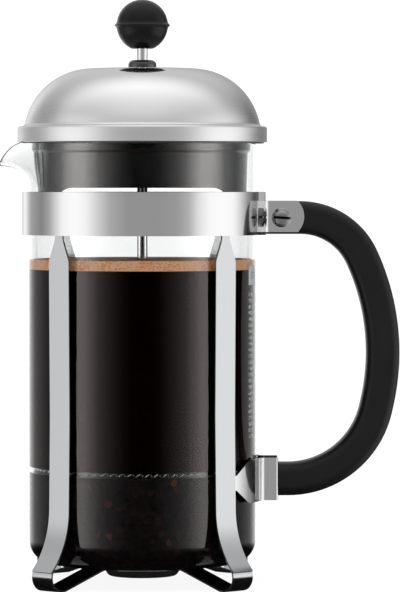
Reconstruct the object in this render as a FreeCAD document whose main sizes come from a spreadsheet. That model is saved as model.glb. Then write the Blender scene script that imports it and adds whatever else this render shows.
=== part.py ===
"""French press: a glass beaker in a steel frame, with a domed lid and a plunger.

Origin on the beaker's axis at the surface the feet stand on.
+Z up, +X towards the handle, -X towards the spout.  Millimetres and degrees.
"""
import FreeCAD, Part
import math
import os
import Sketcher

# Driving dimensions: (name, value, what it is).
DIMENSIONS = (
    # glass
    ("beaker_radius", 48.25, "outside radius of the beaker"),
    ("glass", 1.8, "thickness of the glass wall"),
    ("beaker_floor", 8.5, "underside of the beaker"),
    ("beaker_rim", 186.5, "top edge of the beaker"),
    ("beaker_corner", 10.0, "outside radius between beaker wall and floor"),
    ("spout_jut", 11.95, "how far the spout's tip stands out of the wall"),
    ("spout_drop", 9.3, "tip of the spout below the rim"),
    ("spout_depth", 19.0, "height of the spout's bulge below the rim"),
    ("spout_half_width", 12.0, "half the width of the spout"),
    ("spout_root", 0.25, "how far the spout's root lies inside the wall's face"),
    # frame
    ("sheet", 0.8, "thickness of the frame's sheet steel"),
    ("band_gap", 1.95, "air between the beaker and the band"),
    ("band_drop", 38.6, "lower edge of the band below the rim"),
    ("band_height", 18.2, "height of the band"),
    ("leg_angle", 43.0, "azimuth of each leg from the X axis plane's normal"),
    ("leg_width", 11.3, "width of each leg"),
    ("leg_neck", 4.3, "width of the neck where a leg meets the band"),
    ("neck_run", 1.5, "upright run at either end of the neck's flare"),
    ("leg_shoulder", 12.0, "height of the neck's flare"),
    ("neck_bend", 6.0, "rounding of the neck's outline"),
    ("leg_waist", 72.0, "height at which a leg is nearest the glass"),
    ("leg_tuck", 0.5, "how far the waist lies inside the band"),
    ("leg_kick", 0.2, "how far the ankle lies outside the band"),
    ("leg_bend", 400.0, "bend radius along a leg"),
    ("ankle_bend", 36.0, "bend radius at the ankle"),
    ("foot_spread", 10.3, "how far the feet stand out beyond the band"),
    ("foot_roll", 6.2, "outside radius of the rolled foot"),
    ("foot_flat", 2.0, "flat under each foot"),
    ("heel_bend", 3.0, "bend radius behind the flat"),
    ("strap_slope", 17.0, "slope of a strap from the floor to the base plate"),
    ("strap_bend", 20.0, "bend radius where a strap levels out"),
    ("seat_gap", 0.1, "clearance between beaker and straps"),
    ("plate_set", 2.24, "how far inside the straps' bends the base plate ends"),
    ("plate_lap", 8.0, "how far the straps lie on the base plate"),
    ("boss_land", 1.1, "level land between the straps' ends and the boss"),
    ("boss_level", 2.8, "underside of the boss"),
    ("boss_draw", 2.4, "width of the boss's sloping wall"),
    ("boss_edge", 2.5, "bend radius round the boss's underside"),
    ("boss_bend", 1.2, "bend radius where the boss's wall meets the plate"),
    # handle
    ("handle_height", 14.0, "height of the handle's section"),
    ("handle_depth", 15.0, "depth of the handle's section, along Y"),
    ("handle_edge", 4.2, "rounding of the handle's long edges"),
    ("handle_drop", 7.3, "centre line of the handle's upper arm above the band's lower edge"),
    ("handle_foot", 44.1, "centre line of the handle's lower arm"),
    ("handle_reach", 0.5054, "outer corner beyond the band, in parts of the handle's span"),
    ("handle_bulge", 0.5797, "level of that corner above the foot, in the same parts"),
    ("upper_turn", 0.3105, "corner of the upper arm beyond the band, in the same parts"),
    ("lower_turn", 0.3735, "corner of the lower arm beyond the band, in the same parts"),
    ("upper_bend", 0.2601, "bend radius at the upper turn, in the same parts"),
    ("outer_bend", 0.8677, "bend radius at the outer corner, in the same parts"),
    ("lower_bend", 0.3438, "bend radius at the lower turn, in the same parts"),
    ("handle_gap", 1.6, "air between the band and the end of the upper arm"),
    ("ear_start", 16.0, "angle from +X at which the band turns out into its ears"),
    ("ear_root", 1.2, "where the band narrows to an ear, beyond the band"),
    ("ear_bend", 2.4, "outside bend radius between band and ear"),
    ("ear_turn", 1.7, "corner of that bend beyond the band"),
    ("ear_corner", 14.9, "where an ear's straight edges end, beyond the band"),
    ("ear_point", 19.6, "where the two sides of an ear's end would meet, beyond the band"),
    ("ear_end", 9.2, "radius of an ear's end"),
    ("ear_low", 1.2, "lower edge of an ear above the band's"),
    ("ear_height", 13.2, "height of an ear"),
    ("screw_set", 7.9, "handle screw beyond the band"),
    ("screw_radius", 2.5, "radius of the screw's shank"),
    ("head_radius", 4.1, "radius of the screw's head"),
    ("head_height", 1.9, "height of the screw's head"),
    ("head_rim", 0.7, "height of the head's straight rim"),
    ("head_crown", 2.2, "where the head's slope meets its top"),
    ("head_round", 4.5, "rounding of the head's crown"),
    ("slot_width", 1.1, "width of the screw's slot"),
    ("slot_depth", 1.3, "depth of the screw's slot"),
    ("slot_turn", 86.0, "how far the slot stands turned from upright"),
    ("nut_size", 8.0, "hexagon nut across its flats"),
    ("nut_height", 3.6, "height of the nut"),
    ("hole_clearance", 0.1, "clearance round the screw, per side"),
    ("cheek_length", 6.6, "outer end of the lower bracket's cheeks beyond the band"),
    ("cheek_height", 18.0, "height of the lower bracket's cheeks"),
    ("cheek_drop", 8.7, "lower edge of the cheeks below the handle's lower arm"),
    ("lip_length", 1.9, "length of the lip bent in at a cheek's end"),
    ("lip_bend", 1.3, "outside bend radius of the lip"),
    ("tab_height", 6.2, "height of the bracket where it meets a leg"),
    ("tab_run", 1.1, "how far the bracket stays narrow beyond a leg's edge"),
    ("tab_flare", 5.5, "run over which the bracket widens"),
    ("bracket_turn", 10.0, "angle from +X at which the bracket turns out into a cheek"),
    # lid
    ("flange_overhang", 4.75, "how far the dome's flange stands out beyond the glass"),
    ("flange_lift", 0.6, "lower edge of the dome's flange above the rim"),
    ("flange_height", 7.0, "height of the dome's flange"),
    ("flange_round", 1.0, "rounding of the flange's upper edge"),
    ("flange_cove", 1.5, "cove between dome and flange"),
    ("dome_inset", 2.9, "where the dome meets the flange, inside its edge"),
    ("dome_height", 24.4, "height of the dome above its flange"),
    ("dome_shoulder", 28.9, "radius of the dome's shoulder"),
    ("shoulder_inset", 8.4, "corner that the shoulder rounds, inside the flange's edge"),
    ("crown_fall", 0.4, "how far that corner lies below the crown"),
    ("crown_flat", 12.0, "radius of the crown's level middle"),
    ("crown_radius", 200.0, "bend radius round that middle"),
    ("dome_sheet", 0.8, "thickness of the dome's sheet steel"),
    ("collar_gap", 1.7, "air between collar and glass"),
    ("collar_wall", 1.7, "wall of the lid insert"),
    ("seat_inset", 1.4, "edge of the insert's flange inside the dome's edge"),
    ("collar_lip", 1.1, "how far the lip under the flange stands out"),
    ("lip_drop", 2.9, "lower edge of the lip below the rim"),
    ("collar_draft", 0.7, "how far the collar narrows towards its lower edge"),
    ("rest_gap", 0.1, "clearance between insert flange and rim"),
    ("skirt_drop", 30.0, "lower edge of the insert's skirts below the rim"),
    ("arch_drop", 18.7, "top of the arch between the skirts below the rim"),
    ("arch_inset", 5.75, "where the arch ends, inside the collar's face"),
    ("arch_round", 9.0, "rounding of the arch's corners"),
    ("insert_rise", 2.0, "underside of the insert's roof above its flange's seat"),
    ("insert_round", 1.5, "rounding between collar and roof, inside"),
    ("insert_step", 2.0, "width of the slope between flange and roof"),
    ("slot_gap", 1.5, "width of a strainer slot"),
    ("slot_pitch", 4.4, "distance between strainer slots"),
    ("slot_count", 9.0, "number of strainer slots"),
    ("slot_drop", 18.0, "lower end of a strainer slot below the rim"),
    ("slot_length", 14.5, "length of a strainer slot"),
    ("hub_wall", 3.2, "wall of the hub in the lid insert"),
    ("hub_round", 2.0, "rounding at the hub's foot"),
    ("bush_wall", 1.4, "wall of the guide bush's shank"),
    ("bush_lap", 2.3, "how far the bush's head stands out of its shank"),
    ("bush_height", 3.5, "height of the guide bush's head"),
    ("bush_round", 2.2, "rounding of the guide bush's head"),
    ("bush_tail", 1.0, "length of the bush below its clip"),
    ("clip_height", 1.2, "thickness of the guide clip"),
    ("clip_lap", 2.5, "how far the clip stands out of the bush's shank"),
    ("clip_groove", 0.6, "depth of the clip's groove in the bush"),
    ("running", 0.05, "running clearance, per side"),
    # plunger
    ("rod_radius", 2.25, "radius of the plunger rod"),
    ("knob_rise", 18.25, "middle of the knob above the dome"),
    ("knob_radius", 10.9, "radius of the knob's ball"),
    ("knob_flat", 9.9, "flat under the knob, below its middle"),
    ("ridge_radius", 12.1, "radius of the knob's ridge"),
    ("ridge_height", 3.0, "height of the knob's ridge"),
    ("ridge_root", 9.9, "radius inside the ball at which the ridge starts"),
    ("ridge_round", 0.35, "rounding of the ridge"),
    ("insert_recess", 1.0, "how far the insert lies above the knob's underside"),
    ("insert_wall", 1.4, "wall of the brass insert in the knob"),
    ("insert_length", 12.0, "length of the brass insert"),
    ("filter_level", 48.5, "middle of the edge spring"),
    ("spring_wire", 1.15, "radius of the edge spring's coil"),
    ("wipe_gap", 0.4, "air between edge spring and glass"),
    ("plate", 0.8, "thickness of the filter plates"),
    ("mesh", 0.5, "thickness of the mesh"),
    ("cross_inset", 5.7, "edge of the cross plate inside the sieve's"),
    ("sieve_hole", 2.0, "radius of a hole in the spiral plate"),
    ("sieve_margin", 7.1, "outer ring of holes inside the sieve's edge"),
    ("cross_hole", 8.0, "radius of a hole in the cross plate"),
    ("cross_circle", 0.6, "circle of those holes, in parts of the cross plate's radius"),
    ("hub_radius", 6.5, "radius of hub nut and rod collar"),
    ("hub_height", 5.2, "height of the hub nut"),
    ("collar_height", 2.4, "height of the rod collar"),
)

doc = FreeCAD.newDocument("FrenchPress")
sheet = doc.addObject("Spreadsheet::Sheet", "Sizes")
for row, (alias, value, meaning) in enumerate(DIMENSIONS, 1):
    sheet.set("A%d" % row, alias)
    sheet.set("B%d" % row, str(value))
    sheet.set("C%d" % row, meaning)
    sheet.setAlias("B%d" % row, alias)
doc.recompute()


class Size:
    """A number together with the spreadsheet expression that gives it."""

    def __init__(self, number, text):
        self.number = number
        self.text = text

    def __add__(self, other):
        other = size(other)
        return Size(self.number + other.number, "(%s + %s)" % (self.text, other.text))

    def __sub__(self, other):
        other = size(other)
        return Size(self.number - other.number, "(%s - %s)" % (self.text, other.text))

    def __mul__(self, other):
        other = size(other)
        return Size(self.number * other.number, "%s * %s" % (self.text, other.text))

    def __truediv__(self, other):
        other = size(other)
        return Size(self.number / other.number, "%s / %s" % (self.text, other.text))

    def __rsub__(self, other):
        return size(other) - self

    def __neg__(self):
        return Size(-self.number, "(0 - %s)" % self.text)

    __radd__ = __add__
    __rmul__ = __mul__


def size(value):
    """A cell of the sheet by its name, or a plain number, as a Size."""
    if isinstance(value, Size):
        return value
    if isinstance(value, str):
        return Size(float(getattr(sheet, value)), "Sizes." + value)
    return Size(float(value), "(%.9g)" % value if value < 0 else "%.9g" % value)


def cosine(angle):
    """Cosine of a Size in degrees."""
    return Size(math.cos(math.radians(angle.number)), "cos(%s)" % angle.text)


def sine(angle):
    """Sine of a Size in degrees."""
    return Size(math.sin(math.radians(angle.number)), "sin(%s)" % angle.text)


def tangent(angle):
    """Tangent of a Size in degrees."""
    return Size(math.tan(math.radians(angle.number)), "tan(%s)" % angle.text)


def bind(thing, **properties):
    """Bind properties to Sizes; a double underscore stands for a dot."""
    for name, value in properties.items():
        thing.setExpression(name.replace("__", "."), size(value).text)


def new_body(label):
    """A PartDesign body that becomes the node of that name."""
    body = doc.addObject("PartDesign::Body", label)
    body.Label = label
    return body


def origin_plane(body, role):
    """One of the body's own origin planes or axes."""
    return next(f for f in body.Origin.OriginFeatures if f.Role == role)


def new_sketch(body, name, role, offset=None):
    """A sketch on an origin plane, lifted off it by an optional Size."""
    sketch = body.newObject("Sketcher::SketchObject", name)
    sketch.AttachmentSupport = (origin_plane(body, role), [""])
    sketch.MapMode = "FlatFace"
    if offset is not None:
        bind(sketch, AttachmentOffset__Base__z=offset)
    return sketch


def constrain(sketch, kind, *geometry, value=None):
    """Add a constraint, driven by a Size where one is given."""
    if value is None:
        return sketch.addConstraint(Sketcher.Constraint(kind, *geometry))
    index = sketch.addConstraint(Sketcher.Constraint(kind, *geometry, size(value).number))
    sketch.setExpression("Constraints[%d]" % index, size(value).text)
    return index


def draw_chain(sketch, corners, radii, closed):
    """Straight runs through the corners, joined by tangent arcs of the radii.

    Returns the run's line indices and, for each corner, the (geometry, point)
    that carries it.  A radius of None is a sharp corner.
    """
    count = len(corners)
    inner = range(count) if closed else range(1, count - 1)
    starts = list(corners)
    ends = list(corners)
    arcs = {}
    for i in inner:
        if radii[i] is None:
            continue
        back = (corners[i - 1] - corners[i]).normalize()
        ahead = (corners[(i + 1) % count] - corners[i]).normalize()
        half = back.getAngle(ahead) / 2
        reach = radii[i].number / math.tan(half)
        starts[i] = corners[i] + back * reach
        ends[i] = corners[i] + ahead * reach
        depth = radii[i].number / math.sin(half) - radii[i].number
        middle = corners[i] + (back + ahead).normalize() * depth
        arcs[i] = Part.Arc(starts[i], middle, ends[i])
    runs = count if closed else count - 1
    lines = [
        sketch.addGeometry(Part.LineSegment(ends[i], starts[(i + 1) % count]), False)
        for i in range(runs)
    ]
    carriers = [None] * count
    if not closed:
        carriers[0] = (lines[0], 1)
        carriers[-1] = (lines[-1], 2)
    for i in inner:
        before, after = lines[i - 1], lines[i % runs]
        if radii[i] is None:
            constrain(sketch, "Coincident", before, 2, after, 1)
            carriers[i] = (after, 1)
            continue
        arc = sketch.addGeometry(arcs[i], False)
        point = sketch.getPoint(arc, 1)
        first = 1 if point.distanceToPoint(starts[i]) < point.distanceToPoint(ends[i]) else 2
        constrain(sketch, "Tangent", before, 2, arc, first)
        constrain(sketch, "Tangent", after, 1, arc, 3 - first)
        constrain(sketch, "Radius", arc, value=radii[i])
        point = sketch.addGeometry(Part.Point(corners[i]), True)
        constrain(sketch, "PointOnObject", point, 1, before)
        constrain(sketch, "PointOnObject", point, 1, after)
        carriers[i] = (point, 1)
    return lines, carriers


def read_corners(corners):
    """Corners given as (x, y) or (x, y, radius) as vectors, Sizes and radii."""
    places = [(size(c[0]), size(c[1])) for c in corners]
    radii = [size(c[2]) if len(c) > 2 else None for c in corners]
    vectors = [FreeCAD.Vector(x.number, y.number, 0) for x, y in places]
    return vectors, places, radii


def fix_corners(sketch, carriers, places):
    """Hold each corner at its place."""
    for (geometry, point), (x, y) in zip(carriers, places):
        constrain(sketch, "DistanceX", geometry, point, value=x)
        constrain(sketch, "DistanceY", geometry, point, value=y)


def outline(sketch, corners, closed=True):
    """A closed outline, or an open path, through the corners."""
    vectors, places, radii = read_corners(corners)
    _, carriers = draw_chain(sketch, vectors, radii, closed)
    fix_corners(sketch, carriers, places)


def sheet_outline(sketch, corners, thickness, side):
    """The edge-on outline of a bent sheet.

    The corners give one face; the other lies at the thickness from it, to the
    left (side 1) or right (side -1) of the direction of travel.
    """
    vectors, places, radii = read_corners(corners)
    gap = size(thickness)
    normals = []
    for a, b in zip(vectors, vectors[1:]):
        run = (b - a).normalize()
        normals.append(FreeCAD.Vector(-run.y, run.x, 0) * side)
    far = []
    far_radii = []
    for i, corner in enumerate(vectors):
        one = normals[max(i - 1, 0)]
        two = normals[min(i, len(normals) - 1)]
        far.append(corner + (one + two) * (gap.number / (1 + one.dot(two))))
        if radii[i] is None:
            far_radii.append(None)
            continue
        turns_left = (vectors[i] - vectors[i - 1]).cross(vectors[i + 1] - vectors[i]).z > 0
        towards_centre = turns_left == (side > 0)
        far_radii.append(radii[i] - gap if towards_centre else radii[i] + gap)
    near_lines, near = draw_chain(sketch, vectors, radii, False)
    far_lines, other = draw_chain(sketch, far, far_radii, False)
    fix_corners(sketch, near, places)
    for i, (geometry, point) in enumerate(other):
        for line in near_lines[max(i - 1, 0):i + 1]:
            constrain(sketch, "Distance", geometry, point, line, value=gap)
    ends = ((near[0], other[0], near_lines[0]), (near[-1], other[-1], near_lines[-1]))
    for (a, pa), (b, pb), run in ends:
        start = sketch.getPoint(a, pa)
        cap = sketch.addGeometry(Part.LineSegment(start, sketch.getPoint(b, pb)), False)
        constrain(sketch, "Coincident", cap, 1, a, pa)
        constrain(sketch, "Coincident", cap, 2, b, pb)
        constrain(sketch, "Perpendicular", cap, run)


def circle(sketch, x, y, radius):
    """A circle held at its centre and radius."""
    x, y, radius = size(x), size(y), size(radius)
    shape = Part.Circle(FreeCAD.Vector(x.number, y.number, 0), FreeCAD.Vector(0, 0, 1), radius.number)
    index = sketch.addGeometry(shape, False)
    constrain(sketch, "DistanceX", index, 3, value=x)
    constrain(sketch, "DistanceY", index, 3, value=y)
    constrain(sketch, "Radius", index, value=radius)


def add_feature(body, kind, name, sketch, **settings):
    """A feature of the body made from a sketch."""
    feature = body.newObject("PartDesign::" + kind, name)
    feature.Profile = sketch
    for key, value in settings.items():
        setattr(feature, key, value)
    sketch.Visibility = False
    return feature


def pad(body, sketch, length, **settings):
    """Pad the sketch by a Size."""
    feature = add_feature(body, "Pad", sketch.Name + "Pad", sketch, **settings)
    bind(feature, Length=length)
    return feature


def revolve(body, sketch, kind="Revolution"):
    """Turn the sketch all round its vertical axis."""
    feature = add_feature(body, kind, sketch.Name + "Turned", sketch, Angle=360.0)
    feature.ReferenceAxis = (sketch, ["V_Axis"])
    return feature


def cut(body, sketch, both_ways=True, reverse=False):
    """Pocket the sketch through the body, and check that it removes material."""
    doc.recompute()
    before = body.Shape.Volume
    side = "Two sides" if both_ways else "One side"
    feature = add_feature(body, "Pocket", sketch.Name + "Cut", sketch, Type="ThroughAll")
    feature.SideType = side
    if both_ways:
        feature.Type2 = "ThroughAll"
    feature.Reversed = reverse
    doc.recompute()
    if body.Shape.Volume >= before - 1e-6:
        raise RuntimeError("%s removes nothing" % feature.Name)
    return feature


def pattern(body, feature, count):
    """Repeat a feature about the body's Z axis."""
    turned = body.newObject("PartDesign::PolarPattern", feature.Name + "Round")
    turned.Originals = [feature]
    turned.Axis = (origin_plane(body, "Z_Axis"), [""])
    turned.Angle = 360.0
    turned.Occurrences = count
    body.Tip = turned


def mirror(body, features, role):
    """Mirror features of the body in one of its origin planes."""
    copy = body.newObject("PartDesign::Mirrored", features[0].Name + "Mirrored")
    copy.Originals = features
    copy.MirrorPlane = (origin_plane(body, role), [""])
    body.Tip = copy
    return copy


def ring(label, inner, outer, low, high):
    """A plain turned ring between two radii and two levels."""
    body = new_body(label)
    sketch = new_sketch(body, label + "_section", "XZ_Plane")
    outline(sketch, [(inner, low), (outer, low), (outer, high), (inner, high)])
    revolve(body, sketch)
    return body


# How far a cutting outline reaches past the piece it cuts.
PAST = 1.0

# Derived sizes, shared by the pieces that meet there.
S = {name: size(name) for name, _, _ in DIMENSIONS}
beaker_bore = S["beaker_radius"] - S["glass"]
band_bore = S["beaker_radius"] + S["band_gap"]
band_face = band_bore + S["sheet"]
strap_top = S["beaker_floor"] - S["seat_gap"]
strap_low = strap_top - S["sheet"]
band_low = S["beaker_rim"] - S["band_drop"]
band_high = band_low + S["band_height"]
foot_reach = band_face + S["foot_spread"]
foot_flat_end = foot_reach - S["foot_roll"] - S["foot_flat"]
strap_turn = foot_flat_end - strap_low / tangent(S["strap_slope"])
plate_radius = strap_turn - S["plate_set"]
strap_end = plate_radius - S["plate_lap"]
boss_radius = strap_end - S["boss_land"] - S["boss_draw"]
ear_inside = S["handle_depth"] / 2
ear_outside = ear_inside + S["sheet"]
screw_reach = band_face + S["screw_set"]
handle_top = band_low + S["handle_drop"]
handle_span = handle_top - S["handle_foot"]
cheek_reach = band_face + S["cheek_length"]
cheek_low = S["handle_foot"] - S["cheek_drop"]
collar_face = beaker_bore - S["collar_gap"]
collar_bore = collar_face - S["collar_wall"]
flange_seat = S["beaker_rim"] + S["rest_gap"]
insert_top = flange_seat + S["collar_wall"]
insert_floor = flange_seat + S["insert_rise"]
insert_floor_top = insert_floor + S["collar_wall"]
flange_radius = S["beaker_radius"] + S["flange_overhang"]
flange_low = S["beaker_rim"] + S["flange_lift"]
flange_top = flange_low + S["flange_height"]
dome_top = flange_top + S["dome_height"]
dome_inside = dome_top - S["dome_sheet"]
bush_bore = S["rod_radius"] + S["running"]
bush_radius = bush_bore + S["bush_wall"]
bush_seat = bush_radius + S["running"]
bush_groove = bush_radius - S["clip_groove"]
clip_top = insert_floor - S["running"]
clip_low = clip_top - S["clip_height"]
knob_centre = dome_top + S["knob_rise"]
knob_low = knob_centre - S["knob_flat"]
insert_radius = bush_bore + S["insert_wall"]
spring_circle = beaker_bore - S["wipe_gap"] - S["spring_wire"]
plate_edge = spring_circle - S["spring_wire"] - S["running"]
cross_radius = plate_edge - S["cross_inset"]
plate_low = S["filter_level"] - S["plate"] / 2
plate_high = plate_low + S["plate"]
mesh_low = plate_low - S["mesh"]
cross_low = mesh_low - S["plate"]
hub_low = cross_low - S["hub_height"]
# Half the angle that a leg takes up on the band.
leg_edge = Size(
    math.degrees(math.atan(S["leg_width"].number / 2 / band_face.number)),
    "(atan(%s) / 1 deg)" % (S["leg_width"] / 2 / band_face).text)


def make_beaker():
    """Glass cylinder with a rounded floor and a beak drawn out of its rim."""
    body = new_body("beaker")
    radius, rim, floor = S["beaker_radius"], S["beaker_rim"], S["beaker_floor"]
    solid = new_sketch(body, "beaker_outside", "XZ_Plane")
    corner = (radius, floor, S["beaker_corner"])
    outline(solid, [(0, floor), corner, (radius, rim), (0, rim)])
    revolve(body, solid)
    spout_loft(body, "AdditiveLoft", "spout_outside", size(0))
    hollow = new_sketch(body, "beaker_inside", "XZ_Plane")
    over = rim + S["glass"] * 3
    corner = (beaker_bore, floor + S["glass"], S["beaker_corner"] - S["glass"])
    outline(hollow, [(0, floor + S["glass"]), corner, (beaker_bore, over), (0, over)])
    revolve(body, hollow, "Groove")
    spout_loft(body, "SubtractiveLoft", "spout_inside", S["glass"])
    trim = new_sketch(body, "spout_lip", "XZ_Plane")
    # The lip falls in a straight line from the rim to the tip and on beyond it.
    jut = S["spout_jut"] + PAST * 2
    outer = -(radius + jut)
    fall = S["spout_drop"] * jut / S["spout_jut"]
    outline(trim, [(0, rim), (-radius, rim), (outer, rim - fall), (outer, over), (0, over)])
    cut(body, trim)


def spout_loft(body, kind, name, inset):
    """The spout's bulge, through circles that grow towards the rim."""
    width = S["spout_half_width"]
    root = S["beaker_rim"] - S["spout_depth"]
    lip = S["beaker_rim"] - S["spout_drop"] - S["glass"] / 2
    tip = S["beaker_radius"] + S["spout_jut"]
    # Tip, radius and level of each section; those between root and rim are set
    # by the parts of the full drop, width and height that the beak has there.
    sections = (
        (S["beaker_radius"] - S["spout_root"], width * 0.3, root + inset),
        (S["beaker_radius"] + S["spout_drop"] * 0.3, width * 0.62, root + (lip - root) * 0.7 + inset),
        (tip, width * 0.92, lip + inset),
        (tip, width, S["beaker_rim"] + PAST * 2),
    )
    circles = []
    for index, (reach, radius, level) in enumerate(sections):
        sketch = new_sketch(body, "%s_%d" % (name, index), "XY_Plane", level)
        circle(sketch, radius - reach, 0, radius - inset)
        circles.append(sketch)
    loft = add_feature(body, kind, name, circles[0])
    loft.Sections = circles[1:]
    loft.Ruled = True


def make_frame_band():
    """Band round the glass; its ends turn out into ears that hold the handle."""
    body = new_body("frame_band")
    hoop = new_sketch(body, "hoop", "XY_Plane", band_low)
    circle(hoop, 0, 0, band_face)
    circle(hoop, 0, 0, band_bore)
    pad(body, hoop, S["band_height"])
    start = (band_face * cosine(S["ear_start"]), -band_face * sine(S["ear_start"]))
    gap = new_sketch(body, "hoop_gap", "XY_Plane", band_low)
    side = band_bore * sine(S["ear_start"])
    outline(gap, [(0, -side), (flange_radius, -side), (flange_radius, side), (0, side)])
    cut(body, gap)
    ear = new_sketch(body, "ear", "XY_Plane", band_low)
    turn = (band_face + S["ear_turn"], -ear_outside, S["ear_bend"])
    point = band_face + S["ear_point"]
    sheet_outline(ear, [start, turn, (point, -ear_outside)], S["sheet"], 1)
    ear_pad = pad(body, ear, S["band_height"])
    mirror(body, [ear_pad], "XZ_Plane")
    shape = new_sketch(body, "ear_shape", "XZ_Plane")
    root, corner = band_face + S["ear_root"], band_face + S["ear_corner"]
    beyond, below, above = point + PAST, band_low - PAST, band_high + PAST
    ear_low = band_low + S["ear_low"]
    ear_high = ear_low + S["ear_height"]
    middle = (ear_low + ear_high) / 2
    outline(shape, [
        (root, below), (beyond, below), (beyond, above), (root, above), (root, ear_high),
        (corner, ear_high), (point, middle, S["ear_end"]), (corner, ear_low), (root, ear_low)])
    cut(body, shape)
    hole = new_sketch(body, "ear_hole", "XZ_Plane")
    circle(hole, screw_reach, handle_top, S["screw_radius"] + S["hole_clearance"])
    cut(body, hole)


def make_leg(label, azimuth):
    """Strip leg from the band down to a rolled foot and in under the glass."""
    body = new_body(label)
    roll = S["foot_roll"]
    centre = foot_reach - roll
    ankle = band_face + S["leg_kick"]
    # The instep leaves at 45 degrees, tangent to the roll.
    far = roll * (1 + math.sqrt(2))
    section = new_sketch(body, label + "_section", "XZ_Plane")
    sheet_outline(section, [
        (band_face, band_low),
        (band_face, band_low - S["leg_shoulder"], S["leg_bend"]),
        (band_face - S["leg_tuck"], S["leg_waist"], S["leg_bend"]),
        (ankle, far - (ankle - centre), S["ankle_bend"]),
        (centre + far, 0, roll),
        (foot_flat_end, 0, S["heel_bend"]),
        (strap_turn, strap_low, S["strap_bend"]),
        (strap_end, strap_low)],
        S["sheet"], -1)
    pad(body, section, S["leg_width"], Midplane=True)
    neck = new_sketch(body, label + "_neck", "YZ_Plane")
    wide, narrow = S["leg_width"] / 2, S["leg_neck"] / 2
    top, shoulder = band_low + PAST, band_low - S["leg_shoulder"]
    for side in (-1, 1):
        edge = wide * side
        outline(neck, [
            (narrow * side, top), (narrow * side, band_low - S["neck_run"], S["neck_bend"]),
            (edge, shoulder + S["neck_run"], S["neck_bend"]), (edge, shoulder),
            (edge + PAST * side, shoulder), (edge + PAST * side, top)])
    cut(body, neck)
    body.Placement.Rotation = FreeCAD.Rotation(FreeCAD.Vector(0, 0, 1), 0)
    bind(body, Placement__Rotation__Angle=azimuth)


def make_base_plate():
    """Round plate under the straps, its middle pressed down into a boss."""
    body = new_body("base_plate")
    section = new_sketch(body, "base_section", "XZ_Plane")
    draw = boss_radius + S["boss_draw"]
    sheet_outline(section, [
        (0, S["boss_level"]), (boss_radius, S["boss_level"], S["boss_edge"]),
        (draw, strap_low - S["sheet"], S["boss_bend"]), (plate_radius, strap_low - S["sheet"])],
        S["sheet"], 1)
    revolve(body, section)


def make_lower_bracket():
    """Strip from the two handle-side legs that grips the handle's lower end."""
    body = new_body("lower_bracket")
    strip = new_sketch(body, "bracket_plan", "XY_Plane", cheek_low)
    face = band_face - S["leg_tuck"]
    start, end = 90 - S["leg_angle"] - leg_edge, S["bracket_turn"]
    middle, half = (start + end) / 2, (start - end) / 2
    corner = face / cosine(half)
    cheek = ear_outside
    sheet_outline(strip, [
        (face * cosine(start), -face * sine(start)),
        (corner * cosine(middle), -corner * sine(middle), face - S["ear_bend"]),
        (face, -cheek, S["ear_bend"]),
        (cheek_reach, -cheek, S["lip_bend"]),
        (cheek_reach, S["lip_length"] - cheek)],
        S["sheet"], 1)
    half_strip = pad(body, strip, S["cheek_height"])
    mirror(body, [half_strip], "XZ_Plane")
    shape = new_sketch(body, "bracket_shape", "XZ_Plane")
    centre = cheek_low + S["cheek_height"] / 2
    tab_end = face * cosine(start) + S["tab_run"]
    tab_full = tab_end + S["tab_flare"]
    for side in (-1, 1):
        tab = centre + S["tab_height"] / 2 * side
        full = centre + S["cheek_height"] / 2 * side
        outline(shape, [
            (0, tab), (tab_end, tab), (tab_full, full), (tab_full, full + PAST * side),
            (0, full + PAST * side)])
    cut(body, shape)


def make_handle():
    """Moulded loop of rounded-rectangle section."""
    body = new_body("handle")
    start = band_face + S["handle_gap"]
    bulge = S["handle_foot"] + handle_span * S["handle_bulge"]
    path = new_sketch(body, "handle_path", "XZ_Plane")
    outline(path, [
        (start, handle_top),
        (band_face + handle_span * S["upper_turn"], handle_top, handle_span * S["upper_bend"]),
        (band_face + handle_span * S["handle_reach"], bulge, handle_span * S["outer_bend"]),
        (band_face + handle_span * S["lower_turn"], S["handle_foot"], handle_span * S["lower_bend"]),
        (band_face, S["handle_foot"])], closed=False)
    section = new_sketch(body, "handle_section", "YZ_Plane", start)
    wide, tall = S["handle_depth"] / 2, S["handle_height"] / 2
    edge = S["handle_edge"]
    outline(section, [
        (-wide, handle_top - tall, edge), (wide, handle_top - tall, edge),
        (wide, handle_top + tall, edge), (-wide, handle_top + tall, edge)])
    pipe = add_feature(body, "AdditivePipe", "handle_pipe", section)
    pipe.Spine = path
    doc.recompute()
    hole = new_sketch(body, "handle_hole", "XZ_Plane")
    circle(hole, screw_reach, handle_top, S["screw_radius"] + S["hole_clearance"])
    cut(body, hole)
    groove = new_sketch(body, "handle_groove", "XY_Plane", S["handle_foot"] + S["handle_height"])
    near = cheek_reach - S["lip_bend"] - S["hole_clearance"]
    far = cheek_reach + S["hole_clearance"]
    for side in (-1, 1):
        deep = (ear_outside - S["lip_length"] - S["hole_clearance"]) * side
        clear = ear_outside * side
        outline(groove, [(near, deep), (far, deep), (far, clear), (near, clear)])
    cut(body, groove, both_ways=False)


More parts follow.
